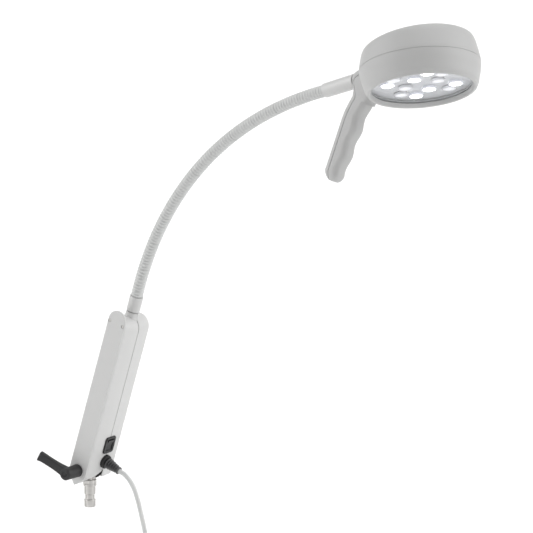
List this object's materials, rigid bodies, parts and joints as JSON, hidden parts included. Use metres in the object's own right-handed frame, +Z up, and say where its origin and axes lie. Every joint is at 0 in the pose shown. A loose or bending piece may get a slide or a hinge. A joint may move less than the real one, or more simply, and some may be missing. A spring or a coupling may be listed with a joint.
{
  "type": "examination lamp",
  "caption": "Spigot-mounted examination lamp: clamp lever, mains casing with switch, flexible ribbed neck, round multi-lens head with a pistol grip, and a mains cord with a plug.",
  "frame": {"origin": "spigot's shoulder, on the spigot's axis, where the lamp rests on its holder", "axes": "+Z up along the spigot, +Y from the casing's front plate to its rear, +X the way the neck reaches"},
  "size_m": [0.6733, 0.1613, 0.9355],
  "materials": {
    "pale_shell": "satin",
    "ferrule": "satin",
    "neck_sleeve": "satin",
    "black_rubber": "matt",
    "black_plastic": "satin",
    "capacitor": "gloss",
    "circuit_board": "satin",
    "led_board": "satin",
    "steel": "satin",
    "lever_plastic": "fine texture",
    "clear_window": "polished",
    "lens_holder": "satin",
    "heat_sink": "satin",
    "clear_lens": "polished",
    "cord_sheath": "satin",
    "plug_plastic": "satin"
  },
  "bodies": {
    "spigot": {"spigot": "steel"},
    "casing": {"front_shell": "pale_shell", "rear_shell": "pale_shell", "case_screw_left": "steel", "case_screw_right": "steel", "front_washer": "black_rubber", "rear_washer": "black_rubber", "clamp_nut": "steel", "driver_board": "circuit_board", "driver_transformer": "black_plastic", "driver_capacitor": "capacitor", "switch_housing": "black_plastic", "cord_gland": "black_plastic", "cord_boot": "black_plastic", "mains_cord": "cord_sheath", "cord_coil": "cord_sheath", "coil_tie": "black_rubber", "plug_lead": "cord_sheath", "mains_plug": "plug_plastic", "lower_ferrule": "ferrule", "neck_segment_01": "neck_sleeve"},
    "clamp_drive": {"clamp_stud": "steel", "lever_insert": "steel", "lever_screw": "steel"},
    "lever": {"lever": "lever_plastic"},
    "rocker": {"switch_rocker": "black_plastic"},
    "neck_02": {"neck_segment_02": "neck_sleeve"},
    "neck_03": {"neck_segment_03": "neck_sleeve"},
    "neck_04": {"neck_segment_04": "neck_sleeve"},
    "neck_05": {"neck_segment_05": "neck_sleeve"},
    "neck_06": {"neck_segment_06": "neck_sleeve"},
    "neck_07": {"neck_segment_07": "neck_sleeve"},
    "neck_08": {"neck_segment_08": "neck_sleeve"},
    "neck_09": {"neck_segment_09": "neck_sleeve"},
    "neck_10": {"neck_segment_10": "neck_sleeve"},
    "neck_11": {"neck_segment_11": "neck_sleeve", "upper_ferrule": "ferrule"},
    "head": {"crown_shell": "pale_shell", "rim_shell": "pale_shell", "window": "clear_window", "window_gasket": "black_rubber", "lens_plate": "lens_holder", "lens_01": "clear_lens", "lens_02": "clear_lens", "lens_03": "clear_lens", "lens_04": "clear_lens", "lens_05": "clear_lens", "lens_06": "clear_lens", "lens_07": "clear_lens", "lens_08": "clear_lens", "lens_09": "clear_lens", "lens_10": "clear_lens", "lens_11": "clear_lens", "lens_12": "clear_lens", "led_board": "led_board", "heat_sink": "heat_sink", "grip_body": "pale_shell", "grip_cover": "pale_shell", "grip_screw": "steel"}
  },
  "joints": [
    {"name": "casing_tilt", "type": "hinge", "parent": "spigot", "child": "casing", "pos_m": [0, 0, 0.0264], "axis": [0, 1, 0], "range_deg": [-62, 27.5]},
    {"name": "lever_turn", "type": "hinge", "parent": "casing", "child": "clamp_drive", "pos_m": [0, 0, 0.0264], "axis": [0, -1, 0], "range_deg": [-15, 150]},
    {"name": "lever_lift", "type": "slide", "parent": "clamp_drive", "child": "lever", "axis": [0, -1, 0], "range_m": [0, 0.0035], "stiffness_N_per_m": 400},
    {"name": "rocker_switch", "type": "hinge", "parent": "casing", "child": "rocker", "pos_m": [0.02774, 0.006, 0.06071], "axis": [0, 1, 0], "range_deg": [-16, 0]},
    {"name": "neck_bend", "type": "hinge", "parent": "casing", "child": "neck_02", "pos_m": [0.0907, 0.0056, 0.31661], "axis": [0, 1, 0], "range_deg": [-9, 9]},
    {"name": "neck_side", "type": "hinge", "parent": "neck_02", "child": "neck_03", "pos_m": [0.10746, 0.0056, 0.35594], "axis": [-0.9004, 0, 0.435], "range_deg": [-9, 9]},
    {"name": "neck_bend_2", "type": "hinge", "parent": "neck_03", "child": "neck_04", "pos_m": [0.12785, 0.0056, 0.39352], "axis": [0, 1, 0], "range_deg": [-9, 9]},
    {"name": "neck_side_2", "type": "hinge", "parent": "neck_04", "child": "neck_05", "pos_m": [0.15176, 0.0056, 0.42897], "axis": [-0.8011, 0, 0.5985], "range_deg": [-9, 9]},
    {"name": "neck_bend_3", "type": "hinge", "parent": "neck_05", "child": "neck_06", "pos_m": [0.17897, 0.0056, 0.46194], "axis": [0, 1, 0], "range_deg": [-9, 9]},
    {"name": "neck_side_3", "type": "hinge", "parent": "neck_06", "child": "neck_07", "pos_m": [0.20921, 0.0056, 0.49217], "axis": [-0.6731, 0, 0.7395], "range_deg": [-9, 9]},
    {"name": "neck_bend_4", "type": "hinge", "parent": "neck_07", "child": "neck_08", "pos_m": [0.24214, 0.0056, 0.51944], "axis": [0, 1, 0], "range_deg": [-9, 9]},
    {"name": "neck_side_4", "type": "hinge", "parent": "neck_08", "child": "neck_09", "pos_m": [0.2774, 0.0056, 0.54362], "axis": [-0.5294, 0, 0.8484], "range_deg": [-9, 9]},
    {"name": "neck_bend_5", "type": "hinge", "parent": "neck_09", "child": "neck_10", "pos_m": [0.31461, 0.0056, 0.56467], "axis": [0, 1, 0], "range_deg": [-9, 9]},
    {"name": "neck_side_5", "type": "hinge", "parent": "neck_10", "child": "neck_11", "pos_m": [0.3534, 0.0056, 0.58265], "axis": [-0.3868, 0, 0.9221], "range_deg": [-9, 9]},
    {"name": "head_swivel", "type": "hinge", "parent": "neck_11", "child": "head", "pos_m": [0.39341, 0.0056, 0.59772], "axis": [0.9358, 0, 0.3525], "range_deg": [-70, 110]}
  ],
  "couplings": [
    {"joint": "neck_bend_2", "follows": "neck_bend", "ratio": 1},
    {"joint": "neck_side_2", "follows": "neck_side", "ratio": 1},
    {"joint": "neck_bend_3", "follows": "neck_bend", "ratio": 1},
    {"joint": "neck_side_3", "follows": "neck_side", "ratio": 1},
    {"joint": "neck_bend_4", "follows": "neck_bend", "ratio": 1},
    {"joint": "neck_side_4", "follows": "neck_side", "ratio": 1},
    {"joint": "neck_bend_5", "follows": "neck_bend", "ratio": 1},
    {"joint": "neck_side_5", "follows": "neck_side", "ratio": 1}
  ]
}
